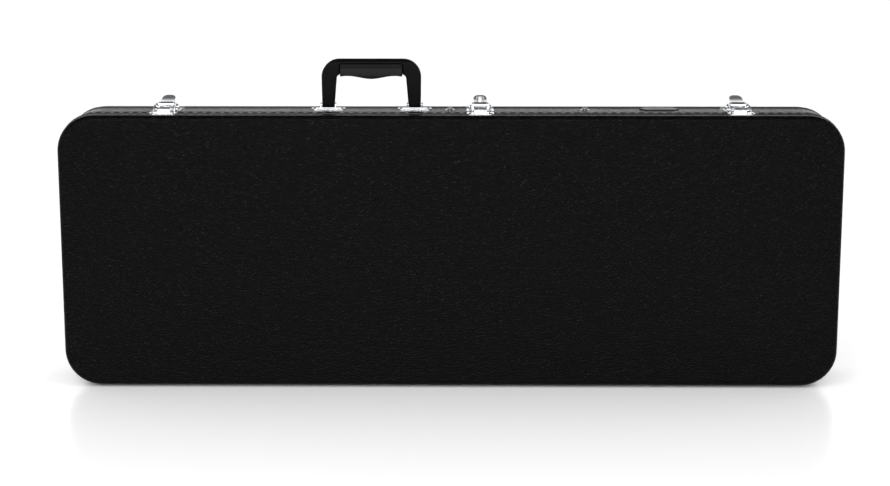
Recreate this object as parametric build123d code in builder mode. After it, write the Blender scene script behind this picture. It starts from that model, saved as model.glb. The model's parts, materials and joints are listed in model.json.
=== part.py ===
from build123d import *
import os

# Electric guitar case, standing on its hinge side with the lid facing -Y.
# X runs along the case, Z is up, Y runs from the lid to the back, and the
# origin is the middle of the footprint on the floor.

os.makedirs("parts", exist_ok=True)

# Driving sizes of the case, in millimetres
CASE_LENGTH = 1042.0
CASE_HEIGHT = 367.0
CASE_THICKNESS = 114.0
LID_DEPTH = 39.0
CORNER_RADIUS = 68.0
EDGE_RADIUS = 7.0
FOOT_HEIGHT = 3.0

# Walls, from the outside in
COVER = 1.2
PLYWOOD = 5.0
WALL = COVER + PLYWOOD

# The rims that meet at the seam
SEAM_GAP = 0.8
RIM_DEPTH = 6.0
RIM_RECESS = 0.3
TONGUE_GAP = 0.8
TONGUE_THICKNESS = 1.6
TONGUE_REACH = 4.0

# The welt that finishes the wrapped edge of each half
WELT_RADIUS = 1.2
WELT_FROM_FACE = 21.0

# Padding
FIT = 0.3
LINING = 1.0
LINING_START = 0.8
LID_PAD = 11.0
BACK_PAD = 6.0
PAD_EDGE = 4.0
CHANNEL_RADIUS = 2.0
CHANNEL_SPACING = 200.0

# The guitar's place: outline of the hollow, from the body end to the neck
BODY_END = 27.0
BOUT_HALF = 166.0
WAIST_HALF = 128.0
HORN_HALF = 150.0
NECK_HALF = 38.0
HOLLOW_LENGTH = 432.0
CRADLE_INSET = 9.0
CRADLE_BELOW_SEAM = 4.0

# The accessory compartment, between the two studs in the photographed side
COMPARTMENT_START = -1.0
COMPARTMENT_END = 181.0
COMPARTMENT_WALL = 6.0
NECK_REST_START = 236.0
NECK_REST_LENGTH = 46.0

# Draw latches
LATCH_PLACES = {"left": -382.0, "middle": 39.5, "right": 385.0}
PLATE = 1.0
PLATE_WIDTH = 36.0
PLATE_CORNER = 5.0
BASE_START = 3.0
BASE_LENGTH = 33.0
STRIKE_START = 3.0
STRIKE_LENGTH = 22.0
PIVOT_REACH = 20.0
PIVOT_HEIGHT = 7.5
PIVOT_RADIUS = 1.5
EAR_RADIUS = 4.2
EAR_INNER = 9.6
EAR_THICKNESS = 1.2
LEVER_WIDTH = 17.6
LEVER_SHEET = 1.3
LEVER_HEEL = 4.4
BAIL_PIVOT_BACK = 7.5
BAIL_PIVOT_DOWN = 2.9
BAIL_PIN_RADIUS = 1.25
BAIL_ARM = 13.0
BAIL_WIRE = 1.2
BAIL_EYE = 2.7
EYE_THICKNESS = 2.0
BAIL_LENGTH = 39.5
RUNNING = 0.05
HOOK_PLAY = 1.0
HOOK_SHEET = 1.2
HOOK_WIDTH = 16.0
HOOK_CURL = 120.0
TAB_REACH = 46.0
TAB_HEIGHT = 18.0
LOCK_REACH = 33.0
LOCK_RADIUS = 3.4
LOCK_COLLAR = 5.2
LOCK_TOP = 17.2
LOCK_BOTTOM = 8.6
KEYWAY = (0.9, 4.2, 2.5)

# Round wire and cord are drawn with this many sides
WIRE_SIDES = 8

# Rivets
RIVET_SIDES = 12
RIVET_TAPER = 38.0
RIVET_RADIUS = 2.1
RIVET_DOME = 1.1
RIVET_SIDE = 14.0
RIVET_EDGE = 3.6

# Handle
HANDLE_MIDDLE = -107.35
HANDLE_HALF = 67.5
HANDLE_TOP = 68.4
HANDLE_CORNER = 25.0
LEG_FOOT = 16.4
LEG_HEAD = 21.0
BAND = 7.3
BAND_DEPTH = 15.0
LEG_ROUND = 4.0
GRIP_HALF = 42.0
GRIP_DEPTH = 22.0
GRIP_END_DROP = 16.6
GRIP_BELLY = 3.2
GRIP_SHOULDER = 2.4
HANDLE_INNER_CORNER = 5.0
HANDLE_PIN_HEIGHT = 5.8
HANDLE_PIN_RADIUS = 1.5
BRACKET_LENGTH = 46.0
BRACKET_DEPTH = 14.0
BRACKET_SHEET = 1.2
BRACKET_EAR = 9.4
BRACKET_RIVET = 18.5

# Hinges
HINGE_PLACES = (-330.0, 0.0, 330.0)
HINGE_LENGTH = 50.0
KNUCKLE_RADIUS = 2.6
KNUCKLES = 3
KNUCKLE_GAP = 0.3
HINGE_PIN_RADIUS = 1.2
LEAF = 1.0
LEAF_REACH = 16.0
HINGE_RELIEF = 3.2
HINGE_RIVETS = (-17.0, 0.0, 17.0)

# Neck supports
NECK_BOLSTER = 40.0
NECK_NOTCH = 34.0

# Small trim
STUD_FLANGE = 6.5
STUD_KNOB = 3.0
STUD_HEIGHT = 4.5
STUD_DEPTH = 70.0
NAME_PLATE = (54.0, 26.0, 1.2)
NAME_PLATE_POINT = 8.0
NAME_PLATE_PLACE = (281.7, 74.0)
FOOT_RADIUS = 6.0
FOOT_PLACES = (-400.0, 400.0)
FOOT_INSET = 29.0

# Planes and lines worked out from the sizes
FRONT = -CASE_THICKNESS / 2
BACK = CASE_THICKNESS / 2
SEAM = FRONT + LID_DEPTH
LID_EDGE = SEAM - SEAM_GAP / 2
BODY_EDGE = SEAM + SEAM_GAP / 2
BOTTOM = FOOT_HEIGHT
TOP = FOOT_HEIGHT + CASE_HEIGHT
MIDDLE = FOOT_HEIGHT + CASE_HEIGHT / 2
BACK_INSIDE = BACK - WALL
PAD_FACE = BACK_INSIDE - BACK_PAD
CRADLE_FACE = BODY_EDGE + CRADLE_BELOW_SEAM
PAD_INSET = WALL + LINING + FIT
BODY_HALF_MIDDLE = (SEAM + BACK) / 2
LEFT = -CASE_LENGTH / 2
HOLLOW_LEFT = LEFT + BODY_END
NECK_START = HOLLOW_LEFT + HOLLOW_LENGTH
LEVER_PIVOT = (PIVOT_REACH, PIVOT_HEIGHT)
BAIL_PIVOT = (PIVOT_REACH + BAIL_PIVOT_BACK, PIVOT_HEIGHT - BAIL_PIVOT_DOWN)
CROSSBAR = (BAIL_PIVOT[0] - BAIL_LENGTH, BAIL_PIVOT[1])
BAIL_CREST = (BAIL_PIVOT[0] - 13.5, BAIL_PIVOT[1] + 5.9)
BAIL_BROW = (CROSSBAR[0] + 10.0, CROSSBAR[1] + 4.4)


def keep(piece, name):
    """Labels a finished piece and writes it under its name."""
    piece.part.label = name
    export_step(piece.part, f"parts/{name}.step")


def facing(y):
    """The plane at depth y whose sketch axes are X and Z."""
    return Plane.XZ.offset(-y)


def block(inset, y_flat, y_open, edge, rounded=False):
    """A slab between two depths, rounded or bevelled round its flat end."""
    with BuildPart() as slab:
        with BuildSketch(facing(y_flat)):
            with Locations((0, MIDDLE)):
                RectangleRounded(
                    CASE_LENGTH - 2 * inset,
                    CASE_HEIGHT - 2 * inset,
                    CORNER_RADIUS - inset,
                )
        extrude(amount=y_flat - y_open)
        if edge > 0:
            rim = slab.edges().group_by(Axis.Y)[0 if y_flat < y_open else -1]
            if rounded:
                fillet(rim, edge)
            else:
                chamfer(rim, edge)
    return slab.part


def ring(outer, inner, y_from, y_to):
    """A band that follows the case's outline between two insets."""
    with BuildPart() as band:
        with BuildSketch(facing(y_from)):
            for inset, mode in ((outer, Mode.ADD), (inner, Mode.SUBTRACT)):
                with Locations((0, MIDDLE)):
                    RectangleRounded(
                        CASE_LENGTH - 2 * inset,
                        CASE_HEIGHT - 2 * inset,
                        CORNER_RADIUS - inset,
                        mode=mode,
                    )
        extrude(amount=y_from - y_to)
    return band.part


def hinge_reliefs():
    """The grooves across the seam that the hinge knuckles sit in."""
    with BuildPart() as grooves:
        for x in HINGE_PLACES:
            with BuildSketch(Plane.YZ.offset(x - HINGE_LENGTH / 2 - FIT)):
                with Locations((SEAM, BOTTOM)):
                    Circle(HINGE_RELIEF)
            extrude(amount=HINGE_LENGTH + 2 * FIT)
    return grooves.part


def half_shell(outer, inner, y_flat, y_open, rounded=False):
    """A tray open at the seam, its walls between two insets."""
    inward = 1 if y_flat < y_open else -1
    faces = []
    for inset, soft in ((outer, rounded), (inner, False)):
        edge = EDGE_RADIUS - inset if soft else bevel_inside(inset)
        faces.append(block(inset, y_flat + inward * inset, y_open, edge, soft))
    with BuildPart() as tray:
        add(faces[0])
        add(faces[1], mode=Mode.SUBTRACT)
        add(RELIEFS, mode=Mode.SUBTRACT)
    return tray


def bevel_inside(inset):
    """The bevel at an inset that keeps the walls even under the round edge."""
    return max(0.586 * EDGE_RADIUS - 0.586 * inset, 0.5)


def welt(y):
    """The round bead sewn on where the wrapped panel ends, at depth y."""
    half_x = CASE_LENGTH / 2
    half_z = CASE_HEIGHT / 2
    corners = [(-half_x, -half_z), (half_x, -half_z), (half_x, half_z), (-half_x, half_z)]
    with BuildPart() as bead:
        with BuildLine(facing(y)) as line:
            FilletPolyline(
                *[(x, MIDDLE + z) for x, z in corners], radius=CORNER_RADIUS, close=True
            )
        with BuildSketch(Plane(line.wire() @ 0, z_dir=line.wire() % 0)):
            RegularPolygon(WELT_RADIUS, WIRE_SIDES)
        sweep()
        add(block(0, y - 2 * WELT_RADIUS, y + 2 * WELT_RADIUS, 0), mode=Mode.SUBTRACT)
        for x in LATCH_PLACES.values():
            with Locations((x, y, TOP)):
                Box(PLATE_WIDTH + 2 * FIT, 4 * WELT_RADIUS, 3 * WELT_RADIUS, mode=Mode.SUBTRACT)
    return bead


def dome(radius, height):
    """A low rivet head, drawn in towards its top, standing on the origin."""
    with BuildPart() as head:
        with BuildSketch(Plane.XY):
            RegularPolygon(radius, RIVET_SIDES)
        extrude(amount=height, taper=RIVET_TAPER)
    return head.part


def heads(head, places):
    """One group of separate heads, each on its own place."""
    with BuildPart() as group:
        with Locations(*places):
            add(head)
    return group


def side_plane(x, shift=0.0):
    """A latch's side view: sketch X runs back from the seam, sketch Y up."""
    return Plane(origin=(x + shift, SEAM, TOP), x_dir=(0, 1, 0), z_dir=(1, 0, 0))


def top_plane(x, height=0.0, y=SEAM):
    """A plane over the photographed side, with X along the case."""
    return Plane(origin=(x, y, TOP + height), x_dir=(1, 0, 0), z_dir=(0, 0, 1))


def rod(plane, at, radius, half_length):
    """A round bar through a point of a plane, both ways from it."""
    with BuildPart() as bar:
        with BuildSketch(plane):
            with Locations(at):
                Circle(radius)
        extrude(amount=half_length, both=True)
    return bar.part


def latch_base(x):
    """The plate riveted to the body half, with the lever's two ears."""
    with BuildPart() as base:
        with BuildSketch(top_plane(x)):
            with Locations((0, BASE_START + BASE_LENGTH / 2)):
                RectangleRounded(PLATE_WIDTH, BASE_LENGTH, PLATE_CORNER)
        extrude(amount=PLATE)
        for side in (-1, 1):
            ear_middle = side * (EAR_INNER + EAR_THICKNESS / 2)
            with BuildSketch(side_plane(x, ear_middle)):
                Polygon(
                    (PIVOT_REACH - 5.0, PLATE / 2),
                    (PIVOT_REACH + 5.0, PLATE / 2),
                    (PIVOT_REACH + 0.9 * EAR_RADIUS, PIVOT_HEIGHT),
                    (PIVOT_REACH - 0.9 * EAR_RADIUS, PIVOT_HEIGHT),
                    align=None,
                )
                with Locations(LEVER_PIVOT):
                    Circle(EAR_RADIUS)
            extrude(amount=EAR_THICKNESS / 2, both=True)
        add(rod(side_plane(x), LEVER_PIVOT, PIVOT_RADIUS, PLATE_WIDTH), mode=Mode.SUBTRACT)
    return base


def strike(x):
    """The plate on the lid whose curled hook holds the bail's crossbar."""
    inner = BAIL_WIRE + HOOK_PLAY
    outer = inner + HOOK_SHEET
    bar_u, bar_w = CROSSBAR
    with BuildPart() as plate:
        with BuildSketch(top_plane(x)):
            with Locations((0, -STRIKE_START - STRIKE_LENGTH / 2)):
                RectangleRounded(PLATE_WIDTH, STRIKE_LENGTH, PLATE_CORNER)
        extrude(amount=PLATE)
        with BuildSketch(side_plane(x)):
            with BuildLine():
                curl = CenterArc((bar_u, bar_w), inner, 0, HOOK_CURL)
                back = CenterArc((bar_u, bar_w), outer, 0, HOOK_CURL)
                Line(curl @ 1, back @ 1)
                Polyline(
                    curl @ 0,
                    (bar_u + inner, PLATE / 2),
                    (bar_u + outer, PLATE / 2),
                    back @ 0,
                )
            make_face()
        extrude(amount=HOOK_WIDTH / 2, both=True)
    return plate


def lever(x, locked):
    """The folded sheet lever with its raised thumb tab."""
    half = LEVER_WIDTH / 2
    with BuildPart() as body:
        for width, drop, mode in (
            (half, 0.0, Mode.ADD),
            (half - LEVER_SHEET, LEVER_SHEET, Mode.SUBTRACT),
        ):
            with BuildSketch(side_plane(x)):
                with Locations((PIVOT_REACH, PIVOT_HEIGHT - drop)):
                    Circle(LEVER_HEEL)
                with Locations((BAIL_PIVOT[0], BAIL_PIVOT[1] - drop)):
                    Circle(BAIL_EYE)
                with Locations((LOCK_REACH + 1.0, TAB_HEIGHT - 6.6 - drop)):
                    Circle(1.2)
                make_hull()
            extrude(amount=width, both=True, mode=mode)
        heel_top = PIVOT_HEIGHT + LEVER_HEEL
        with BuildSketch(side_plane(x)):
            with BuildLine():
                upper = ThreePointArc(
                    (PIVOT_REACH, heel_top),
                    (LOCK_REACH + 1.0, heel_top + 2.0),
                    (TAB_REACH, TAB_HEIGHT),
                )
                lower = ThreePointArc(
                    (PIVOT_REACH, heel_top - LEVER_SHEET),
                    (LOCK_REACH + 1.0, heel_top + 2.0 - LEVER_SHEET),
                    (TAB_REACH + 0.5, TAB_HEIGHT - LEVER_SHEET),
                )
                Line(upper @ 0, lower @ 0)
                Line(upper @ 1, lower @ 1)
            make_face()
        extrude(amount=half, both=True)
        with BuildSketch(top_plane(x)):
            with Locations((0, TAB_REACH / 2)):
                RectangleRounded(LEVER_WIDTH, TAB_REACH + 1.0, half - 0.4)
        extrude(amount=TAB_HEIGHT + 4, mode=Mode.INTERSECT)
        if locked:
            with BuildSketch(top_plane(x, LOCK_BOTTOM)):
                with Locations((0, LOCK_REACH)):
                    Circle(LOCK_COLLAR)
            extrude(amount=LOCK_TOP - 0.5 - LOCK_BOTTOM)
            with BuildSketch(top_plane(x)):
                with Locations((0, LOCK_REACH)):
                    Circle(LOCK_RADIUS + RUNNING)
            extrude(amount=2 * LOCK_TOP, mode=Mode.SUBTRACT)
        for at, radius in ((LEVER_PIVOT, PIVOT_RADIUS), (BAIL_PIVOT, BAIL_PIN_RADIUS)):
            add(rod(side_plane(x), at, radius + RUNNING, LEVER_WIDTH), mode=Mode.SUBTRACT)
    return body


def round_pin(x, at, radius, half_length, head_radius=0.0, head=0.0):
    """A cross pin on a side view's point, with a head at each end."""
    with BuildPart() as pin:
        add(rod(side_plane(x), at, radius, half_length))
        if head > 0:
            for side in (-1, 1):
                end = side_plane(x, side * (half_length - head / 2))
                add(rod(end, at, head_radius, head / 2))
    return pin


def bail(x):
    """The bent wire loop that draws the lid shut, with an eye on each arm."""
    back_u, back_w = BAIL_PIVOT
    bar_u, bar_w = CROSSBAR
    run_u, run_w = BAIL_CREST[0] - back_u, BAIL_CREST[1] - back_w
    run = (run_u**2 + run_w**2) ** 0.5
    start = (back_u + 1.9 * run_u / run, back_w + 1.9 * run_w / run)
    half = [start, BAIL_CREST, BAIL_BROW, (bar_u, bar_w)]
    arm = [(x + BAIL_ARM, SEAM + u, TOP + w) for u, w in half]
    other = [(x - BAIL_ARM, SEAM + u, TOP + w) for u, w in reversed(half)]
    with BuildPart() as loop:
        with BuildLine() as line:
            FilletPolyline(*arm, *other, radius=[8.0, 8.0, 2.4, 2.4, 8.0, 8.0])
        with BuildSketch(Plane(line.wire() @ 0, z_dir=line.wire() % 0)):
            RegularPolygon(BAIL_WIRE, WIRE_SIDES)
        sweep()
        for side in (-1, 1):
            with BuildSketch(side_plane(x, side * BAIL_ARM)):
                with Locations(BAIL_PIVOT):
                    Circle(BAIL_EYE)
            extrude(amount=EYE_THICKNESS / 2, both=True)
        hole = BAIL_PIN_RADIUS + RUNNING
        add(rod(side_plane(x), BAIL_PIVOT, hole, PLATE_WIDTH), mode=Mode.SUBTRACT)
    return loop


RELIEFS = hinge_reliefs()
# Plywood trays, and the grained vinyl that is wrapped over each
keep(half_shell(COVER, WALL, FRONT, LID_EDGE - RIM_DEPTH), "lid_shell")
keep(half_shell(COVER, WALL, BACK, BODY_EDGE + RIM_DEPTH), "body_shell")
keep(half_shell(0, COVER, FRONT, LID_EDGE - RIM_DEPTH, rounded=True), "lid_cover")
keep(half_shell(0, COVER, BACK, BODY_EDGE + RIM_DEPTH, rounded=True), "body_cover")
keep(welt(FRONT + WELT_FROM_FACE), "lid_welt")
keep(welt(BACK - WELT_FROM_FACE), "body_welt")

# Moulded rims that close on each other, the body's with a tongue inside
with BuildPart() as lid_rim:
    add(ring(RIM_RECESS, WALL, LID_EDGE - RIM_DEPTH, LID_EDGE))
    add(RELIEFS, mode=Mode.SUBTRACT)
keep(lid_rim, "lid_rim")

with BuildPart() as body_rim:
    tongue_outer = WALL + TONGUE_GAP
    tongue_inner = tongue_outer + TONGUE_THICKNESS
    add(ring(RIM_RECESS, WALL, BODY_EDGE, BODY_EDGE + RIM_DEPTH))
    add(ring(WALL, tongue_inner, BODY_EDGE + 1.0, BODY_EDGE + RIM_DEPTH))
    add(ring(tongue_outer, tongue_inner, BODY_EDGE - TONGUE_REACH, BODY_EDGE + RIM_DEPTH))
    add(RELIEFS, mode=Mode.SUBTRACT)
keep(body_rim, "body_rim")

# Lid padding: a crowned pad on the panel, drawn in by sewn channels
with BuildPart() as lid_pad:
    pad_face = FRONT + WALL + LID_PAD
    add(block(PAD_INSET, pad_face, FRONT + WALL, PAD_EDGE, rounded=True))
    channels = int(CASE_LENGTH / 2 // CHANNEL_SPACING)
    for step in range(-channels, channels + 1):
        with BuildSketch(top_plane(step * CHANNEL_SPACING, 0, pad_face)):
            Circle(CHANNEL_RADIUS)
        extrude(amount=-CASE_HEIGHT, mode=Mode.SUBTRACT)
keep(lid_pad, "lid_pad")

# Plush glued to the inside of each half's walls
with BuildPart() as lid_lining:
    add(ring(WALL, WALL + LINING, FRONT + WALL + LINING_START, LID_EDGE - RIM_DEPTH))
keep(lid_lining, "lid_lining")

with BuildPart() as body_lining:
    add(ring(WALL, WALL + LINING, BODY_EDGE + RIM_DEPTH, BACK_INSIDE - LINING_START))
keep(body_lining, "body_lining")

with BuildPart() as back_pad:
    add(block(PAD_INSET, PAD_FACE, BACK_INSIDE, 2.0))
keep(back_pad, "back_pad")


def cradle(side):
    """The foam bolster on one side of the guitar's hollow, +1 above it."""
    with BuildPart() as bolster:
        with BuildSketch(facing(CRADLE_FACE)):
            with Locations((0, MIDDLE)):
                RectangleRounded(
                    CASE_LENGTH - 2 * CRADLE_INSET,
                    CASE_HEIGHT - 2 * CRADLE_INSET,
                    CORNER_RADIUS - CRADLE_INSET,
                )
            with Locations((NECK_START, MIDDLE)):
                Rectangle(
                    CASE_LENGTH,
                    CASE_HEIGHT,
                    align=(Align.MIN, Align.CENTER),
                    mode=Mode.SUBTRACT,
                )
            with Locations((0, MIDDLE + FIT / 2 * side)):
                Rectangle(
                    2 * CASE_LENGTH,
                    CASE_HEIGHT,
                    align=(Align.CENTER, Align.MAX if side > 0 else Align.MIN),
                    mode=Mode.SUBTRACT,
                )
            with BuildLine():
                wall = Spline(
                    (HOLLOW_LEFT, MIDDLE),
                    (HOLLOW_LEFT + 0.27 * HOLLOW_LENGTH, MIDDLE + side * BOUT_HALF),
                    (HOLLOW_LEFT + 0.57 * HOLLOW_LENGTH, MIDDLE + side * WAIST_HALF),
                    (HOLLOW_LEFT + 0.82 * HOLLOW_LENGTH, MIDDLE + side * HORN_HALF),
                    (NECK_START + 1.0, MIDDLE + side * NECK_HALF),
                    tangents=((0, side), (0.35, -side)),
                )
                Polyline(wall @ 1, (NECK_START + 1.0, MIDDLE), (HOLLOW_LEFT, MIDDLE))
            make_face(mode=Mode.SUBTRACT)
        extrude(amount=CRADLE_FACE - PAD_FACE)
    return bolster


keep(cradle(1), "cradle_upper")
keep(cradle(-1), "cradle_lower")


def divider(x_from, x_to, z_from, z_to):
    """A padded wall standing on the back pad, its free edges eased."""
    with BuildPart() as wall:
        with BuildSketch(facing(CRADLE_FACE)):
            with Locations((x_from, z_from)):
                Rectangle(x_to - x_from, z_to - z_from, align=Align.MIN)
        extrude(amount=CRADLE_FACE - PAD_FACE)
        fillet(wall.faces().sort_by(Axis.Y)[0].edges(), 1.5)
    return wall


half_wall = COMPARTMENT_WALL / 2
neck_wall = MIDDLE + NECK_HALF
wall_top = TOP - CRADLE_INSET
keep(
    divider(
        COMPARTMENT_START - half_wall,
        COMPARTMENT_END + half_wall,
        neck_wall,
        neck_wall + COMPARTMENT_WALL,
    ),
    "compartment_neck_wall",
)
for name, place in (("body", COMPARTMENT_START), ("head", COMPARTMENT_END)):
    keep(
        divider(
            place - half_wall, place + half_wall, neck_wall + COMPARTMENT_WALL, wall_top
        ),
        f"compartment_{name}_wall",
    )
keep(
    divider(
        NECK_START + FIT,
        NECK_REST_START - FIT,
        MIDDLE - NECK_HALF - NECK_BOLSTER,
        MIDDLE - NECK_HALF,
    ),
    "neck_bolster",
)

with BuildPart() as neck_rest:
    with BuildSketch(facing(CRADLE_FACE)):
        with Locations((NECK_REST_START, BOTTOM + CRADLE_INSET)):
            Rectangle(
                NECK_REST_LENGTH, CASE_HEIGHT - 2 * CRADLE_INSET, align=Align.MIN
            )
    extrude(amount=CRADLE_FACE - PAD_FACE)
    with BuildSketch(Plane.YZ.offset(NECK_REST_START)):
        with Locations((CRADLE_FACE, MIDDLE)):
            SlotOverall(2 * NECK_NOTCH, 2 * NECK_NOTCH * 0.98)
    extrude(amount=NECK_REST_LENGTH, mode=Mode.SUBTRACT)
keep(neck_rest, "neck_rest")

# Draw latches
rivet = dome(RIVET_RADIUS, RIVET_DOME)
base_rivets = []
strike_rivets = []
for name, x in LATCH_PLACES.items():
    keep(latch_base(x), f"latch_{name}_base")
    keep(strike(x), f"latch_{name}_strike")
    keep(lever(x, name == "middle"), f"latch_{name}_lever")
    keep(
        round_pin(x, LEVER_PIVOT, PIVOT_RADIUS, EAR_INNER + EAR_THICKNESS + 0.4),
        f"latch_{name}_lever_pin",
    )
    keep(
        round_pin(x, BAIL_PIVOT, BAIL_PIN_RADIUS, BAIL_ARM + 2.0, 2.0, 0.8),
        f"latch_{name}_bail_pin",
    )
    keep(bail(x), f"latch_{name}_bail")
    for side in (-RIVET_SIDE, RIVET_SIDE):
        for reach in (RIVET_EDGE, BASE_LENGTH - RIVET_EDGE):
            base_rivets.append((x + side, SEAM + BASE_START + reach, TOP + PLATE))
        front = STRIKE_START + STRIKE_LENGTH - RIVET_EDGE
        strike_rivets.append((x + side, SEAM - front, TOP + PLATE))
keep(heads(rivet, base_rivets), "latch_base_rivets")
keep(heads(rivet, strike_rivets), "latch_strike_rivets")

with BuildPart() as lock_cylinder:
    lock_x = LATCH_PLACES["middle"]
    with BuildSketch(top_plane(lock_x, LOCK_BOTTOM + 0.3)):
        with Locations((0, LOCK_REACH)):
            Circle(LOCK_RADIUS)
    extrude(amount=LOCK_TOP - LOCK_BOTTOM - 0.3)
    with BuildSketch(top_plane(lock_x, LOCK_TOP - KEYWAY[2])):
        with Locations((0, LOCK_REACH)):
            Rectangle(KEYWAY[0], KEYWAY[1])
    extrude(amount=2 * KEYWAY[2], mode=Mode.SUBTRACT)
keep(lock_cylinder, "lock_cylinder")

# Carrying handle: a moulded bow on two pivots, with a padded grip under it
handle_plane = facing(BODY_HALF_MIDDLE)
with BuildPart() as handle_bow:
    with BuildSketch(handle_plane):
        with BuildLine():
            foot = HANDLE_HALF - 0.8
            FilletPolyline(
                (HANDLE_MIDDLE - foot, TOP),
                (HANDLE_MIDDLE - HANDLE_HALF, TOP + HANDLE_TOP),
                (HANDLE_MIDDLE + HANDLE_HALF, TOP + HANDLE_TOP),
                (HANDLE_MIDDLE + foot, TOP),
                radius=HANDLE_CORNER,
            )
            Line((HANDLE_MIDDLE - foot, TOP), (HANDLE_MIDDLE + foot, TOP))
        make_face()
        with BuildLine():
            inner_foot = foot - LEG_FOOT
            inner_head = HANDLE_HALF - LEG_HEAD
            shoulder = TOP + HANDLE_TOP - BAND - GRIP_END_DROP + GRIP_SHOULDER
            FilletPolyline(
                (HANDLE_MIDDLE - inner_foot, TOP),
                (HANDLE_MIDDLE - inner_head, shoulder),
                (HANDLE_MIDDLE + inner_head, shoulder),
                (HANDLE_MIDDLE + inner_foot, TOP),
                radius=HANDLE_INNER_CORNER,
            )
            Line(
                (HANDLE_MIDDLE - inner_foot, TOP), (HANDLE_MIDDLE + inner_foot, TOP)
            )
        make_face(mode=Mode.SUBTRACT)
        with Locations((HANDLE_MIDDLE, TOP + HANDLE_TOP - BAND)):
            Rectangle(
                2 * GRIP_HALF,
                GRIP_END_DROP,
                align=(Align.CENTER, Align.MAX),
                mode=Mode.SUBTRACT,
            )
    extrude(amount=BAND_DEPTH / 2, both=True)
    handle_side = Plane(
        origin=(HANDLE_MIDDLE, BODY_HALF_MIDDLE, TOP), x_dir=(0, 1, 0), z_dir=(1, 0, 0)
    )
    with BuildSketch(handle_side):
        with Locations((0, HANDLE_PIN_HEIGHT)):
            Circle(LEG_ROUND)
        with Locations((0, HANDLE_TOP - BAND_DEPTH / 2)):
            Circle(BAND_DEPTH / 2)
        make_hull()
    extrude(amount=HANDLE_HALF + 1, both=True, mode=Mode.INTERSECT)
    handle_pivot = (0, HANDLE_PIN_HEIGHT)
    pin_hole = HANDLE_PIN_RADIUS + RUNNING
    add(rod(handle_side, handle_pivot, pin_hole, HANDLE_HALF + 1), mode=Mode.SUBTRACT)
keep(handle_bow, "handle_bow")

with BuildPart() as handle_grip:
    grip_top = TOP + HANDLE_TOP - BAND
    grip_bottom = grip_top - GRIP_END_DROP
    with BuildSketch(handle_plane):
        with BuildLine():
            left = (HANDLE_MIDDLE - GRIP_HALF, grip_bottom)
            right = (HANDLE_MIDDLE + GRIP_HALF, grip_bottom)
            Spline(
                left,
                (HANDLE_MIDDLE - GRIP_HALF / 2, grip_bottom),
                (HANDLE_MIDDLE, grip_bottom - GRIP_BELLY),
                (HANDLE_MIDDLE + GRIP_HALF / 2, grip_bottom),
                right,
            )
            Polyline(
                right,
                (HANDLE_MIDDLE + GRIP_HALF, grip_top),
                (HANDLE_MIDDLE - GRIP_HALF, grip_top),
                left,
            )
        make_face()
    extrude(amount=GRIP_DEPTH / 2, both=True)
    with BuildSketch(handle_side):
        with Locations((0, grip_top - TOP)):
            RectangleRounded(
                GRIP_DEPTH,
                GRIP_END_DROP + 2 * GRIP_BELLY,
                9.0,
                align=(Align.CENTER, Align.MAX),
            )
        with Locations((0, grip_top - TOP)):
            RectangleRounded(
                BAND_DEPTH, GRIP_END_DROP, 3.0, align=(Align.CENTER, Align.CENTER)
            )
    extrude(amount=GRIP_HALF + 1, both=True, mode=Mode.INTERSECT)
keep(handle_grip, "handle_grip")

leg_middle = HANDLE_HALF - 0.8 - LEG_FOOT / 2
bracket_rivets = []
for name, x in (
    ("left", HANDLE_MIDDLE - leg_middle),
    ("right", HANDLE_MIDDLE + leg_middle),
):
    bracket_side = Plane(
        origin=(x, BODY_HALF_MIDDLE, TOP), x_dir=(0, 1, 0), z_dir=(1, 0, 0)
    )
    with BuildPart() as bracket:
        with BuildSketch(top_plane(x, 0, BODY_HALF_MIDDLE)):
            RectangleRounded(BRACKET_LENGTH, BRACKET_DEPTH, PLATE_CORNER)
        extrude(amount=BRACKET_SHEET)
        for side in (-1, 1):
            ear = side * (BRACKET_EAR + BRACKET_SHEET / 2)
            with BuildSketch(bracket_side.offset(ear)):
                with Locations((0, HANDLE_PIN_HEIGHT)):
                    Circle(3.2)
                with Locations((0, BRACKET_SHEET)):
                    Rectangle(10.0, BRACKET_SHEET)
                make_hull()
            extrude(amount=BRACKET_SHEET / 2, both=True)
        ear_hole = rod(bracket_side, handle_pivot, HANDLE_PIN_RADIUS, BRACKET_LENGTH)
        add(ear_hole, mode=Mode.SUBTRACT)
    keep(bracket, f"handle_{name}_bracket")
    with BuildPart() as bracket_pin:
        pin_half = BRACKET_EAR + BRACKET_SHEET + 0.6
        add(rod(bracket_side, handle_pivot, HANDLE_PIN_RADIUS, pin_half))
    keep(bracket_pin, f"handle_{name}_pin")
    for side in (-BRACKET_RIVET, BRACKET_RIVET):
        bracket_rivets.append((x + side, BODY_HALF_MIDDLE, TOP + BRACKET_SHEET))
keep(heads(rivet, bracket_rivets), "handle_bracket_rivets")


def hinge_leaf(x, side):
    """One leaf of a butt hinge; side -1 is the lid's and +1 the body's."""
    pitch = HINGE_LENGTH / KNUCKLES
    start = x - HINGE_LENGTH / 2
    clear = KNUCKLE_RADIUS + 2 * KNUCKLE_GAP
    with BuildPart() as leaf:
        with BuildSketch(Plane.XY.offset(BOTTOM - LEAF)):
            with Locations((x, SEAM + side * (clear + LEAF_REACH) / 2)):
                Rectangle(HINGE_LENGTH, LEAF_REACH - clear)
        extrude(amount=LEAF)
        for number in range(KNUCKLES):
            if (number % 2 == 0) != (side > 0):
                continue
            with BuildSketch(Plane.YZ.offset(start + number * pitch + KNUCKLE_GAP / 2)):
                with Locations((SEAM, BOTTOM)):
                    Circle(KNUCKLE_RADIUS)
                with Locations((SEAM + side * clear / 2, BOTTOM - LEAF / 2)):
                    Rectangle(clear, LEAF)
                with Locations((SEAM, BOTTOM)):
                    Circle(HINGE_PIN_RADIUS + RUNNING, mode=Mode.SUBTRACT)
            extrude(amount=pitch - KNUCKLE_GAP)
    return leaf


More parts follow.
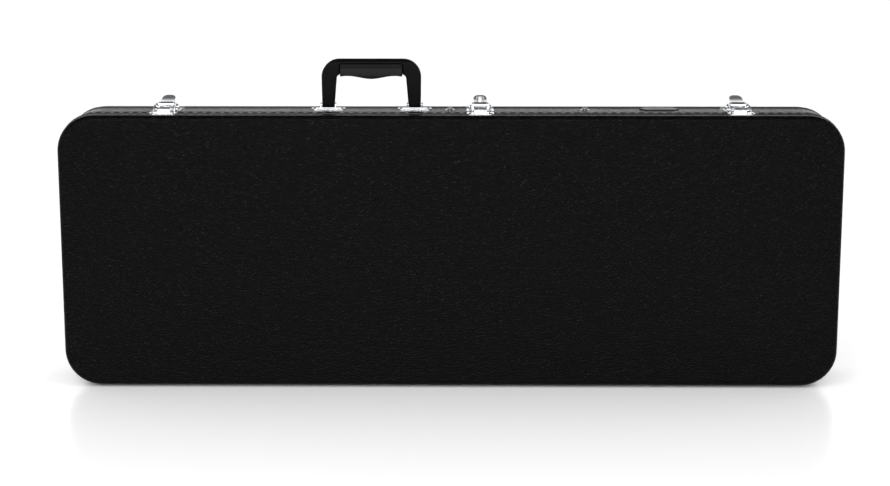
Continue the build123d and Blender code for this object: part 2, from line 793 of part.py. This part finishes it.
hinge_rivet = dome(RIVET_RADIUS, 0.9)
for side, half_name in ((-1, "lid"), (1, "body")):
    rivet_y = SEAM + side * (LEAF_REACH + KNUCKLE_RADIUS) / 2
    for number, x in enumerate(HINGE_PLACES, start=1):
        keep(hinge_leaf(x, side), f"hinge_{number}_{half_name}_leaf")
    with BuildPart() as leaf_rivets:
        for x in HINGE_PLACES:
            for shift in HINGE_RIVETS:
                with Locations(Location((x + shift, rivet_y, BOTTOM - LEAF), (180, 0, 0))):
                    add(hinge_rivet)
    keep(leaf_rivets, f"hinge_{half_name}_rivets")

with BuildPart() as hinge_pins:
    for x in HINGE_PLACES:
        add(rod(Plane.YZ.offset(x), (SEAM, BOTTOM), HINGE_PIN_RADIUS, HINGE_LENGTH / 2))
keep(hinge_pins, "hinge_pins")

# Feet under the hinge side, flat where they stand
with BuildPart() as foot:
    with BuildSketch(Plane.XY):
        Circle(FOOT_RADIUS)
    extrude(amount=FOOT_HEIGHT)
    chamfer(foot.edges().group_by(Axis.Z)[-1], 0.5 * FOOT_HEIGHT)
for half_name, y in (("lid", FRONT + FOOT_INSET), ("body", BACK - FOOT_INSET)):
    with BuildPart() as feet:
        for x in FOOT_PLACES:
            with Locations(Location((x, y, BOTTOM), (180, 0, 0))):
                add(foot.part)
    keep(feet, f"{half_name}_feet")

# Fixings of the compartment walls, and the bare plate
with BuildPart() as stud:
    with BuildSketch(Plane.XZ):
        with BuildLine():
            Line((0, 0), (STUD_FLANGE, 0))
            Polyline(
                (STUD_FLANGE, 0),
                (STUD_KNOB, 1.4),
                (STUD_KNOB, 0.6 * STUD_HEIGHT),
                (0.5 * STUD_KNOB, STUD_HEIGHT),
                (0, STUD_HEIGHT),
            )
            Line((0, STUD_HEIGHT), (0, 0))
        make_face()
    revolve(axis=Axis.Z)
stud_y = FRONT + STUD_DEPTH
keep(
    heads(stud.part, [(COMPARTMENT_START, stud_y, TOP), (COMPARTMENT_END, stud_y, TOP)]),
    "compartment_studs",
)

with BuildPart() as name_plate:
    plate_half = NAME_PLATE[0] / 2
    shoulder = plate_half - NAME_PLATE_POINT
    plate_edge = NAME_PLATE[1] / 2
    with BuildSketch(top_plane(NAME_PLATE_PLACE[0], 0, FRONT + NAME_PLATE_PLACE[1])):
        Polygon(
            (-plate_half, 0),
            (-shoulder, -plate_edge),
            (shoulder, -plate_edge),
            (plate_half, 0),
            (shoulder, plate_edge),
            (-shoulder, plate_edge),
            align=None,
        )
    extrude(amount=NAME_PLATE[2])
    chamfer(name_plate.faces().sort_by(Axis.Z)[-1].edges(), 0.4)
keep(name_plate, "name_plate")
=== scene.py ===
import json
import logging
import math
from dataclasses import dataclass, field
from enum import Enum

import bmesh
import bpy
from mathutils import Matrix, Vector


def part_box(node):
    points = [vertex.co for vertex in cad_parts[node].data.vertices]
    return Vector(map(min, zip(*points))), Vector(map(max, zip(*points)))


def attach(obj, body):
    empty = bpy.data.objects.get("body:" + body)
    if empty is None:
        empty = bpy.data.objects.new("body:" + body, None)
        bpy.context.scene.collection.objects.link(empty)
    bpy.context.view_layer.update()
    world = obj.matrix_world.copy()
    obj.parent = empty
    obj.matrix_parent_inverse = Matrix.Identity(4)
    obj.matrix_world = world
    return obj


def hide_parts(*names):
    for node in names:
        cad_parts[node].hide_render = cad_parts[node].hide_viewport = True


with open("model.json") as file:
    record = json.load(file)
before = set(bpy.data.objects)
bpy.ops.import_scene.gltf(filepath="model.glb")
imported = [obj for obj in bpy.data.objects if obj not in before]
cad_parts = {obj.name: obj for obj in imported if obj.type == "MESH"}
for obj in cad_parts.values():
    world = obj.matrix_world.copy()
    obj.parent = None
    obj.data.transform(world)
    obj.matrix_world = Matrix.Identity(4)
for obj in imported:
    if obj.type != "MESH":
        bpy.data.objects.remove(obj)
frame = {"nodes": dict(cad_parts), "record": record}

logging.basicConfig(level=logging.INFO, format="%(message)s")
LOG = logging.getLogger("guitar_case")
MM = 0.001
SENSOR_WIDTH = 36.0
# An edge stays crisp over this many degrees.
SHARP_ANGLE = 32.0
# No surface is glossier than this roughness.
SMOOTHEST = 0.02
# Points closer than this are one, in millimetres.
DOUBLE_GAP = 0.001
SOFT_DOUBLE_GAP = 0.01
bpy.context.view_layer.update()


def linear(code: str) -> tuple[float, float, float, float]:
    """Turns an sRGB hex colour into a linear one.

    Args:
        code: six hex digits, red first.

    Returns:
        Linear red, green, blue and an alpha of 1.
    """
    parts = [int(code[i:i + 2], 16) / 255 for i in (0, 2, 4)]
    curve = [c / 12.92 if c <= 0.04045 else ((c + 0.055) / 1.055) ** 2.4 for c in parts]
    return (*curve, 1.0)


def add_node(
    tree: bpy.types.NodeTree, kind: str, settings: dict | None = None, links: dict | None = None
) -> bpy.types.Node:
    """Adds a node with its settings and links.

    Args:
        tree: the node tree that takes the node.
        kind: Blender's name of the node's type.
        settings: values by attribute name, or by socket where the key starts with @.
        links: output sockets, by the input socket's name or index.

    Returns:
        The new node.
    """
    node = tree.nodes.new(kind)
    for name, value in (settings or {}).items():
        if isinstance(name, int):
            node.inputs[name].default_value = value
        elif name.startswith("@"):
            node.inputs[name[1:]].default_value = value
        else:
            setattr(node, name, value)
    for name, output in (links or {}).items():
        tree.links.new(output, node.inputs[name])
    return node


class Slot(Enum):
    """The record's material slots."""

    VINYL = "vinyl"
    WELT = "welt"
    RIM = "rim"
    PLYWOOD = "plywood"
    PLUSH = "plush"
    HANDLE = "handle_plastic"
    GRIP = "grip_vinyl"
    PLATE = "name_plate"
    LOCK = "lock_brass"
    CHROME = "chrome"


@dataclass(frozen=True)
class Finish:
    """A surface: its colours, gloss and grain, in real sizes.

    Attributes:
        name: what the real surface is.
        base: sRGB hex of the surface.
        hollow_shade_and_dark_tone: sRGB hex of its hollows and worn spots.
        roughness: microfacet roughness.
        specular: the shader's specular level.
        metallic: 1 for metal.
        grain: size of the grain's cells, in millimetres; 0 for none.
        relief: height of the grain, in millimetres.
        haze: size of slow variation in gloss, in millimetres.
        sheen: weight of a fabric's sheen.
        stretch: scale of the pattern along X, Y and Z.
        stray: how far the roughness strays each way with the haze.
        warp: how far the grain's cells are bent, in cells.
        groove: how far a cell's rounded side reaches in, in cells.
    """

    name: str
    base: str
    hollow_shade_and_dark_tone: str
    roughness: float
    specular: float = 0.5
    metallic: float = 0.0
    grain: float = 0.0
    relief: float = 0.0
    haze: float = 60.0
    sheen: float = 0.0
    stretch: tuple[float, float, float] = (1.0, 1.0, 1.0)
    stray: float = 0.06
    warp: float = 0.9
    groove: float = 0.28

    def material(self) -> bpy.types.Material:
        """Builds the procedural material.

        Returns:
            The material, in Object coordinates.
        """
        made = bpy.data.materials.new(self.name)
        made.use_nodes = True
        tree = made.node_tree
        tree.nodes.clear()
        place = add_node(tree, "ShaderNodeTexCoord")
        turned = add_node(
            tree, "ShaderNodeMapping", {"@Scale": self.stretch}, {"Vector": place.outputs["Object"]}
        )
        spot = turned.outputs["Vector"]
        haze = add_node(
            tree,
            "ShaderNodeTexNoise",
            {"@Scale": 1 / (self.haze * MM), "@Detail": 4.0, "@Roughness": 0.6},
            {"Vector": spot},
        )
        shader = add_node(
            tree,
            "ShaderNodeBsdfPrincipled",
            {
                "@Metallic": self.metallic,
                "@Specular IOR Level": self.specular,
                "@Sheen Weight": self.sheen,
                "@Sheen Roughness": 0.4,
            },
        )
        shade = haze.outputs["Fac"]
        if self.grain > 0:
            bend = add_node(
                tree,
                "ShaderNodeTexNoise",
                {"@Scale": 0.6 / (self.grain * MM), "@Detail": 2.0},
                {"Vector": spot},
            )
            shift = add_node(
                tree,
                "ShaderNodeVectorMath",
                {"operation": "MULTIPLY_ADD", 1: (self.warp * self.grain * MM,) * 3},
                {0: bend.outputs["Color"], 2: spot},
            )
            cells = add_node(
                tree,
                "ShaderNodeTexVoronoi",
                {"feature": "DISTANCE_TO_EDGE", "@Scale": 1 / (self.grain * MM)},
                {"Vector": shift.outputs["Vector"]},
            )
            pebble = add_node(
                tree,
                "ShaderNodeMapRange",
                {"interpolation_type": "SMOOTHSTEP", "@From Min": 0.0, "@From Max": self.groove},
                {"Value": cells.outputs["Distance"]},
            )
            bump = add_node(
                tree,
                "ShaderNodeBump",
                {"@Strength": 1.0, "@Distance": self.relief * MM},
                {"Height": pebble.outputs["Result"]},
            )
            tree.links.new(bump.outputs["Normal"], shader.inputs["Normal"])
            shade = pebble.outputs["Result"]
        # Painted shade: the darker colour fills the grain's hollows (in plywood, its dark fibres).
        colour = add_node(
            tree,
            "ShaderNodeMix",
            {"data_type": "RGBA", 6: linear(self.hollow_shade_and_dark_tone), 7: linear(self.base)},
            {0: shade},
        )
        gloss = add_node(
            tree,
            "ShaderNodeMapRange",
            {
                "@From Min": 0.3,
                "@From Max": 0.7,
                "@To Min": max(self.roughness - self.stray, SMOOTHEST),
                "@To Max": self.roughness + self.stray,
            },
            {"Value": haze.outputs["Fac"]},
        )
        tree.links.new(colour.outputs[2], shader.inputs["Base Color"])
        tree.links.new(gloss.outputs["Result"], shader.inputs["Roughness"])
        add_node(
            tree, "ShaderNodeOutputMaterial", None, {"Surface": shader.outputs["BSDF"]}
        )
        return made


# Each finish's darker colour is painted shade in its grain's hollows; plywood's is fibre, the
# plate's wear.
FINISHES: dict[Slot, Finish] = {
    # Embossed PVC leathercloth: pebbles a few millimetres across, semi-gloss, almost black.
    Slot.VINYL: Finish("embossed_black_leathercloth", "030304", "010101", 0.22, 0.045,
                       grain=3.8, relief=0.5, haze=110.0),
    # Vinyl cord over a string core: smooth, it catches one thin line of light.
    Slot.WELT: Finish("black_vinyl_piping", "1a1b1c", "101010", 0.34, 0.4, grain=1.2, relief=0.03),
    # Extruded black PVC edging: even and satin.
    Slot.RIM: Finish("extruded_black_edging", "121213", "0c0c0c", 0.4, 0.3, grain=0.8, relief=0.01),
    # Birch plywood: pale, with long dark fibres along the panel.
    Slot.PLYWOOD: Finish("birch_plywood", "c9a878", "a5804f", 0.62, 0.3, grain=2.5, relief=0.05,
                         stretch=(0.08, 1.0, 1.0)),
    # Knitted plush on foam: a short pile that scatters light at its edges.
    Slot.PLUSH: Finish("charcoal_plush", "2b2b2f", "131315", 0.9, 0.15, grain=1.3, relief=0.5,
                       sheen=0.6, haze=40.0),
    # Moulded PVC handle with a leather grain.
    Slot.HANDLE: Finish("moulded_black_handle", "050505", "020202", 0.40, 0.05, grain=1.8,
                        relief=0.12, haze=30.0),
    # Stitched vinyl over a foam grip, a little softer in gloss.
    Slot.GRIP: Finish("padded_grip_vinyl", "101011", "080809", 0.5, 0.12, grain=1.4, relief=0.08,
                      haze=25.0),
    # Bare enamelled plate: satin black, evener than the leathercloth round it.
    Slot.PLATE: Finish("bare_black_enamel_plate", "141415", "0c0c0c", 0.34, 0.16, haze=20.0),
    # Nickel-plated brass lock plug, brushed by keys.
    Slot.LOCK: Finish("nickelled_lock_plug", "d8d5cc", "9d9a92", 0.22, metallic=1.0, grain=0.5,
                      relief=0.01, haze=4.0),
    # Bright chrome on pressed steel, with faint rolling marks.
    Slot.CHROME: Finish("bright_chrome_plate", "e9eaec", "c3c5c9", 0.10, metallic=1.0, grain=2.0,
                        relief=0.006, haze=6.0),
}
# Bonded nylon thread: matte, with the light lost between its plies.
THREAD = Finish("bonded_nylon_thread", "0d0d0e", "040404", 0.6, 0.1, grain=0.5, relief=0.08)


class Palette:
    """Builds each finish once and dresses objects with it."""

    def __init__(self) -> None:
        """Starts with no material built."""
        self.made: dict[str, bpy.types.Material] = {}

    def get(self, finish: Finish) -> bpy.types.Material:
        """Gives a finish's material.

        Args:
            finish: the surface wanted.

        Returns:
            Its one shared material.
        """
        if finish.name not in self.made:
            self.made[finish.name] = finish.material()
        return self.made[finish.name]

    def dress(self, thing: bpy.types.Object, finish: Finish) -> None:
        """Gives an object one finish in every slot.

        Args:
            thing: the object.
            finish: its surface.
        """
        if not thing.material_slots:
            thing.data.materials.append(self.get(finish))
        for place in thing.material_slots:
            place.material = self.get(finish)


def shown(name: str, mesh: bpy.types.Mesh) -> bpy.types.Object:
    """Links a mesh to the scene as an object at the origin.

    Args:
        name: the piece's name.
        mesh: its mesh, in place.

    Returns:
        The object.
    """
    thing = bpy.data.objects.new(name, mesh)
    bpy.context.scene.collection.objects.link(thing)
    return thing


def settled(thing: bpy.types.Object) -> bpy.types.Object:
    """Applies all modifiers of an object.

    Args:
        thing: an object with modifiers.

    Returns:
        The same object, its mesh final.
    """
    ready = thing.evaluated_get(bpy.context.evaluated_depsgraph_get())
    mesh = bpy.data.meshes.new_from_object(ready)
    thing.modifiers.clear()
    thing.data = mesh
    mesh.name = thing.name
    return thing


@dataclass(frozen=True)
class Corner:
    """The case's corner radius, as built and as photographed.

    Attributes:
        built: radius of the CAD shells' corners, in millimetres.
        seen: radius that the photograph shows, in millimetres.
    """

    built: float = 68.0
    seen: float = 48.0

    def reach(self, across: float, up: float) -> float:
        """Gives how far the outline moves out along a ray from the built corner's centre.

        Args:
            across: the ray's part along X, positive.
            up: the ray's part along Z, positive.

        Returns:
            The seen outline's distance over the built one's.
        """
        length = math.hypot(across, up)
        along, high = across / length, up / length
        shift = self.built - self.seen
        side = self.built / max(along, high)
        if side * min(along, high) <= shift:
            return side / self.built
        middle = shift * (along + high)
        return (middle + math.sqrt(middle**2 - 2 * shift**2 + self.seen**2)) / self.built

    def square_up(self, mesh: bpy.types.Mesh) -> None:
        """Moves what lies in the corners of the case out to the seen radius.

        Args:
            mesh: a mesh in place, changed here.
        """
        nothing = 1e-6
        low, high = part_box("body_cover")
        half = (high - low) / 2
        centre = (high + low) / 2
        start_x = half.x - self.built * MM
        start_z = half.z - self.built * MM
        for vertex in mesh.vertices:
            x, z = vertex.co.x - centre.x, vertex.co.z - centre.z
            over_x, over_z = abs(x) - start_x, abs(z) - start_z
            if over_x <= nothing or over_z <= nothing:
                continue
            stretch = self.reach(over_x, over_z)
            vertex.co.x = centre.x + math.copysign(start_x + over_x * stretch, x)
            vertex.co.z = centre.z + math.copysign(start_z + over_z * stretch, z)


CORNER = Corner()


def join_doubles(mesh: bpy.types.Mesh) -> None:
    """Joins the doubled points along a mesh's edges.

    Args:
        mesh: the mesh, changed here.
    """
    work = bmesh.new()
    work.from_mesh(mesh)
    bmesh.ops.remove_doubles(work, verts=work.verts, dist=DOUBLE_GAP * MM)
    work.to_mesh(mesh)
    work.free()


def sharpened(mesh: bpy.types.Mesh) -> None:
    """Smooths a mesh again after its points have moved, with crisp edges kept.

    Args:
        mesh: the mesh, changed here.
    """
    if mesh.has_custom_normals:
        mesh.attributes.remove(mesh.attributes["custom_normal"])
    mesh.shade_smooth()
    mesh.set_sharp_from_angle(angle=math.radians(SHARP_ANGLE))


def node_body(name: str) -> str:
    """Gives the body that carries a CAD node.

    Args:
        name: the node.

    Returns:
        The body's name in the record.
    """
    groups = frame["record"]["behaviour"]["bodies"]
    return next(body for body, nodes in groups.items() if name in nodes)


@dataclass
class SoftCopy:
    """A padded or moulded piece grown from its CAD solid.

    Attributes:
        node: the CAD node it stands for.
        slot: the record's slot of its finish.
        voxel: remesh size, in millimetres.
        swell: how far its faces rise and sink from place to place, in millimetres.
        rounds: passes of smoothing.
        fill: how tight the padding is, or None for a moulded piece; not used.
        dimple: size of the rises, in millimetres.
    """

    node: str
    slot: Slot
    voxel: float = 4.0
    swell: float = 1.2
    rounds: int = 6
    fill: float | None = 0.7
    dimple: float = 90.0

    def build(self, palette: Palette) -> bpy.types.Object:
        """Builds, dresses and places the piece.

        Args:
            palette: the shared materials.

        Returns:
            The finished piece.
        """
        mesh = frame["nodes"][self.node].data.copy()
        CORNER.square_up(mesh)
        thing = shown(f"{self.node}_soft", mesh)
        mesh.materials.clear()
        joined = thing.modifiers.new("weld", "WELD")
        joined.merge_threshold = SOFT_DOUBLE_GAP * MM
        remesh = thing.modifiers.new("remesh", "REMESH")
        remesh.mode = "VOXEL"
        remesh.voxel_size = self.voxel * MM
        remesh.use_smooth_shade = True
        if self.rounds:
            smooth = thing.modifiers.new("smooth", "SMOOTH")
            smooth.factor = 0.5
            smooth.iterations = self.rounds
        if self.swell:
            pile = bpy.data.textures.new(f"{self.node}_give", "CLOUDS")
            pile.noise_scale = self.dimple * MM
            push = thing.modifiers.new("give", "DISPLACE")
            push.texture = pile
            push.texture_coords = "LOCAL"
            push.strength = self.swell * MM
            push.mid_level = 0.6
        settled(thing)
        palette.dress(thing, FINISHES[self.slot])
        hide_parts(self.node)
        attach(thing, node_body(self.node))
        return thing


@dataclass
class StitchRow:
    """The row of stitches along the lid's band, near the seam.

    Attributes:
        pitch: distance from stitch to stitch, in millimetres.
        length: one stitch, in millimetres.
        thread: thread diameter, in millimetres.
        from_face: depth of the row behind the lid's panel, in millimetres.
        proud: height of the thread's middle above the cover, in millimetres.
        corner: corner radius of the case, in millimetres.
        steps: parts of the line in each corner.
    """

    pitch: float = 12.3
    length: float = 8.0
    thread: float = 1.1
    from_face: float = 33.0
    proud: float = 0.15
    corner: float = CORNER.seen
    steps: int = 24

    def outline(self) -> bpy.types.Object:
        """Draws the closed line that the stitches follow.

        Returns:
            A poly curve round the lid's band.
        """
        low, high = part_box("lid_cover")
        y = low.y + self.from_face * MM
        out = self.proud * MM
        radius = self.corner * MM + out
        points = []
        corners = (
            (high.x + out - radius, high.z + out - radius, 0),
            (low.x - out + radius, high.z + out - radius, 90),
            (low.x - out + radius, low.z - out + radius, 180),
            (high.x + out - radius, low.z - out + radius, 270),
        )
        for x, z, start in corners:
            for step in range(self.steps + 1):
                angle = math.radians(start + 90 * step / self.steps)
                points.append((x + radius * math.cos(angle), y, z + radius * math.sin(angle)))
        curve = bpy.data.curves.new("stitch_line", "CURVE")
        curve.dimensions = "3D"
        spline = curve.splines.new("POLY")
        spline.points.add(len(points) - 1)
        for point, spot in zip(spline.points, points):
            point.co = (*spot, 1.0)
        spline.use_cyclic_u = True
        thing = bpy.data.objects.new("stitch_line", curve)
        bpy.context.scene.collection.objects.link(thing)
        return thing

    def tree(self, material: bpy.types.Material) -> bpy.types.NodeTree:
        """Builds the node tree that sews a row along a curve.

        Args:
            material: the thread's material.

        Returns:
            The tree, with inputs Pitch, Length and Thread.
        """
        tree = bpy.data.node_groups.new("sew_row", "GeometryNodeTree")
        face = tree.interface
        face.new_socket("Geometry", in_out="INPUT", socket_type="NodeSocketGeometry")
        for name in ("Pitch", "Length", "Thread"):
            face.new_socket(name, in_out="INPUT", socket_type="NodeSocketFloat")
        face.new_socket("Geometry", in_out="OUTPUT", socket_type="NodeSocketGeometry")
        enter = add_node(tree, "NodeGroupInput")
        spaced = add_node(
            tree,
            "GeometryNodeResampleCurve",
            {"mode": "LENGTH"},
            {"Curve": enter.outputs["Geometry"], "Length": enter.outputs["Pitch"]},
        )
        tangent = add_node(tree, "GeometryNodeInputTangent")
        turn = add_node(
            tree,
            "FunctionNodeAlignEulerToVector",
            {"axis": "X"},
            {"Vector": tangent.outputs["Tangent"]},
        )
        stitch = add_node(
            tree, "GeometryNodeMeshUVSphere", {"@Segments": 8, "@Rings": 6, "@Radius": 0.5}
        )
        size = add_node(
            tree,
            "ShaderNodeCombineXYZ",
            None,
            {
                "X": enter.outputs["Length"],
                "Y": enter.outputs["Thread"],
                "Z": enter.outputs["Thread"],
            },
        )
        sewn = add_node(
            tree,
            "GeometryNodeInstanceOnPoints",
            None,
            {
                "Points": spaced.outputs["Curve"],
                "Instance": stitch.outputs["Mesh"],
                "Rotation": turn.outputs["Rotation"],
                "Scale": size.outputs["Vector"],
            },
        )
        real = add_node(
            tree, "GeometryNodeRealizeInstances", None, {"Geometry": sewn.outputs["Instances"]}
        )
        dyed = add_node(
            tree,
            "GeometryNodeSetMaterial",
            {"@Material": material},
            {"Geometry": real.outputs["Geometry"]},
        )
        add_node(tree, "NodeGroupOutput", None, {"Geometry": dyed.outputs["Geometry"]})
        return tree

    def build(self, palette: Palette) -> bpy.types.Object:
        """Sews the row and fixes it to the lid.

        Args:
            palette: the shared materials.

        Returns:
            The row, as one mesh.
        """
        line = self.outline()
        tree = self.tree(palette.get(THREAD))
        modifier = line.modifiers.new("sew", "NODES")
        modifier.node_group = tree
        sizes = {"Pitch": self.pitch, "Length": self.length, "Thread": self.thread}
        for item in tree.interface.items_tree:
            if item.in_out == "INPUT" and item.name in sizes:
                modifier[item.identifier] = sizes[item.name] * MM
        ready = line.evaluated_get(bpy.context.evaluated_depsgraph_get())
        mesh = bpy.data.meshes.new_from_object(ready)
        bpy.data.objects.remove(line)
        row = shown("lid_stitches", mesh)
        palette.dress(row, THREAD)
        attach(row, "lid")
        return row


@dataclass
class Hardware:
    """The pieces that show as built: latches, hinges, brackets, pins, rivets, feet, plate, lock."""

    def dress(self, palette: Palette) -> None:
        """Gives every CAD node its finish, also those that a copy replaces.

        Args:
            palette: the shared materials.
        """
        for part in frame["record"]["subparts"]:
            palette.dress(frame["nodes"][part["node"]], FINISHES[Slot(part["material_slot"])])


@dataclass
class Shells:
    """The two half shells, with what runs round the corners with them.

    Attributes:
        halves: the two halves of the case.
        layers: the pieces of each half, from the record's names.
        lining_fill: how tight the linings lie; not used.
    """

    halves: tuple[str, ...] = ("lid", "body")
    layers: tuple[str, ...] = ("shell", "cover", "rim", "welt", "lining")
    lining_fill: float = 0.9

    def layer(self, node: str, slot: Slot, palette: Palette) -> bpy.types.Object:
        """Rebuilds one piece at the seen corner radius.

        Args:
            node: the CAD node it stands for.
            slot: the record's slot of its finish.
            palette: the shared materials.

        Returns:
            The piece.
        """
        mesh = frame["nodes"][node].data.copy()
        CORNER.square_up(mesh)
        join_doubles(mesh)
        sharpened(mesh)
        thing = shown(f"{node}_squared", mesh)
        palette.dress(thing, FINISHES[slot])
        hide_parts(node)
        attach(thing, node_body(node))
        return thing

    def build(self, palette: Palette) -> list[bpy.types.Object]:
        """Rebuilds every layer of both halves.

        Args:
            palette: the shared materials.

        Returns:
            The pieces.
        """
        slots = {part["node"]: Slot(part["material_slot"]) for part in frame["record"]["subparts"]}
        nodes = [f"{half}_{layer}" for half in self.halves for layer in self.layers]
        return [self.layer(node, slots[node], palette) for node in nodes]


@dataclass
class Padding:
    """The plush-covered foam inside: pads, cradles, neck rest and compartment walls.

    Attributes:
        pieces: the padded pieces.
    """

    pieces: list[SoftCopy] = field(
        default_factory=lambda: [
            SoftCopy("lid_pad", Slot.PLUSH, voxel=3.5, swell=1.0, rounds=5),
            SoftCopy("back_pad", Slot.PLUSH, voxel=3.0, swell=0.6, rounds=3),
            SoftCopy("cradle_upper", Slot.PLUSH),
            SoftCopy("cradle_lower", Slot.PLUSH),
            SoftCopy("neck_bolster", Slot.PLUSH),
            SoftCopy("neck_rest", Slot.PLUSH),
            SoftCopy("compartment_neck_wall", Slot.PLUSH, voxel=1.8, swell=0.3, rounds=3),
            SoftCopy("compartment_body_wall", Slot.PLUSH, voxel=1.8, swell=0.3, rounds=3),
            SoftCopy("compartment_head_wall", Slot.PLUSH, voxel=1.8, swell=0.3, rounds=3),
        ]
    )

    def build(self, palette: Palette) -> list[bpy.types.Object]:
        """Grows every pad.

        Args:
            palette: the shared materials.

        Returns:
            The pads.
        """
        return [piece.build(palette) for piece in self.pieces]


@dataclass
class Handle:
    """The carrying handle: a moulded bow, softened at its edges, and a padded grip.

    Attributes:
        bow: the moulded bow.
        grip: the padded grip.
    """

    bow: SoftCopy = field(
        default_factory=lambda: SoftCopy(
            "handle_bow", Slot.HANDLE, voxel=1.2, swell=0.0, rounds=8, fill=None
        )
    )
    grip: SoftCopy = field(
        default_factory=lambda: SoftCopy("handle_grip", Slot.GRIP, voxel=1.0, swell=0.0, rounds=6)
    )

    def build(self, palette: Palette) -> list[bpy.types.Object]:
        """Makes the bow and the grip.

        Args:
            palette: the shared materials.

        Returns:
            The two pieces.
        """
        return [self.bow.build(palette), self.grip.build(palette)]


@dataclass(frozen=True)
class Lamp:
    """A soft rectangular lamp that only its light shows.

    Attributes:
        name: the lamp's name.
        place: where it hangs, in metres.
        size: its width and height, in metres.
        watts: its power.
    """

    name: str
    place: tuple[float, float, float]
    size: tuple[float, float]
    watts: float

    def hang(self, aim: tuple[float, float, float]) -> None:
        """Hangs the lamp so that it faces a point.

        Args:
            aim: the point, in metres.
        """
        light = bpy.data.lights.new(self.name, "AREA")
        light.shape = "RECTANGLE"
        light.size, light.size_y = self.size
        light.energy = self.watts
        hung = bpy.data.objects.new(self.name, light)
        hung.visible_camera = False
        towards = Vector(aim) - Vector(self.place)
        turned = towards.to_track_quat("-Z", "Y").to_matrix().to_4x4()
        hung.matrix_world = Matrix.Translation(self.place) @ turned
        bpy.context.scene.collection.objects.link(hung)


@dataclass
class Studio:
    """The floor, the light and the camera at the photograph's place.

    Attributes:
        eye: the camera's place, in metres.
        pitch: how far it looks down, in degrees.
        yaw: how far it turns towards the right, in degrees.
        focal: focal length, in millimetres on the sensor's width.
        sight: how far the camera sees, in metres.
        reach: how far the floor goes from the case each way, in metres.
        floor_colour: sRGB hex of the floor.
        floor_roughness: microfacet roughness of the floor.
        floor_specular: specular level of the floor.
        glow: strength of the white that lights the case from all round.
        mirror_low: strength of the white that reflections show near the horizon.
        mirror_high: strength of the white that reflections show overhead.
        aim: the point that the lamps face, in metres.
        lamps: the soft lamps.
    """

    eye: tuple[float, float, float] = (0.0109, -2.4810, 0.6708)
    pitch: float = 10.995
    yaw: float = -0.432
    focal: float = 74.985
    sight: float = 50.0
    reach: float = 12.0
    floor_colour: str = "ededed"
    floor_roughness: float = 0.24
    floor_specular: float = 0.6
    glow: float = 1.08
    mirror_low: float = 1.22
    mirror_high: float = 0.18
    aim: tuple[float, float, float] = (0.0, 0.0, 0.25)
    lamps: tuple[Lamp, ...] = (
        Lamp("key", (-0.3, -3.0, 1.1), (3.4, 1.4), 85.0),
        Lamp("top", (-1.0, -2.2, 2.3), (1.4, 0.7), 16.0),
        Lamp("fill", (1.9, -1.6, 1.9), (1.0, 1.0), 8.0),
    )

    def camera(self) -> None:
        """Sets the camera where the photograph was taken."""
        lens = bpy.data.cameras.new("camera")
        lens.lens = self.focal
        lens.sensor_fit = "HORIZONTAL"
        lens.sensor_width = SENSOR_WIDTH
        lens.clip_end = self.sight
        viewer = bpy.data.objects.new("camera", lens)
        viewer.location = self.eye
        viewer.rotation_euler = (math.radians(90 - self.pitch), 0.0, math.radians(-self.yaw))
        bpy.context.scene.collection.objects.link(viewer)
        bpy.context.scene.camera = viewer

    def floor(self) -> None:
        """Lays a pale, slightly polished floor."""
        far = self.reach
        mesh = bpy.data.meshes.new("floor")
        mesh.from_pydata(
            [(-far, -far, 0), (far, -far, 0), (far, far, 0), (-far, far, 0)], [], [(0, 1, 2, 3)]
        )
        ground = shown("floor", mesh)
        made = bpy.data.materials.new("pale_floor")
        made.use_nodes = True
        shader = made.node_tree.nodes["Principled BSDF"]
        shader.inputs["Base Color"].default_value = linear(self.floor_colour)
        shader.inputs["Roughness"].default_value = self.floor_roughness
        shader.inputs["Specular IOR Level"].default_value = self.floor_specular
        mesh.materials.append(made)

    def sky(self) -> None:
        """Surrounds the case with white, dark overhead in reflections."""
        world = bpy.data.worlds.new("studio")
        world.use_nodes = True
        tree = world.node_tree
        tree.nodes.clear()
        ray = add_node(tree, "ShaderNodeLightPath")
        way = add_node(tree, "ShaderNodeTexCoord")
        split = add_node(tree, "ShaderNodeSeparateXYZ", None, {"Vector": way.outputs["Generated"]})
        rise = add_node(
            tree,
            "ShaderNodeMapRange",
            {
                "interpolation_type": "SMOOTHSTEP",
                "@From Min": 0.25,
                "@From Max": 0.65,
                "@To Min": self.mirror_low,
                "@To Max": self.mirror_high,
            },
            {"Value": split.outputs["Z"]},
        )
        strength = add_node(
            tree,
            "ShaderNodeMix",
            {"data_type": "FLOAT", 2: self.glow},
            {0: ray.outputs["Is Glossy Ray"], 3: rise.outputs["Result"]},
        )
        seen = add_node(
            tree,
            "ShaderNodeMix",
            {"data_type": "FLOAT", 3: 1.0},
            {0: ray.outputs["Is Camera Ray"], 2: strength.outputs[0]},
        )
        glow = add_node(
            tree, "ShaderNodeBackground", {"@Color": (1, 1, 1, 1)}, {"Strength": seen.outputs[0]}
        )
        add_node(tree, "ShaderNodeOutputWorld", None, {"Surface": glow.outputs["Background"]})
        bpy.context.scene.world = world

    def build(self) -> None:
        """Builds the whole studio."""
        self.camera()
        self.floor()
        self.sky()
        for lamp in self.lamps:
            lamp.hang(self.aim)
        bpy.context.scene.view_settings.view_transform = "Standard"


def main() -> None:
    """Builds the case's looks around the CAD frame."""
    palette = Palette()
    Studio().build()
    LOG.info("studio ready")
    Hardware().dress(palette)
    LOG.info("hardware dressed")
    for assembly in (Shells(), Padding(), Handle()):
        for piece in assembly.build(palette):
            LOG.info("made %s", piece.name)
    LOG.info("sewed %s", StitchRow().build(palette).name)


if __name__ == "__main__":
    main()
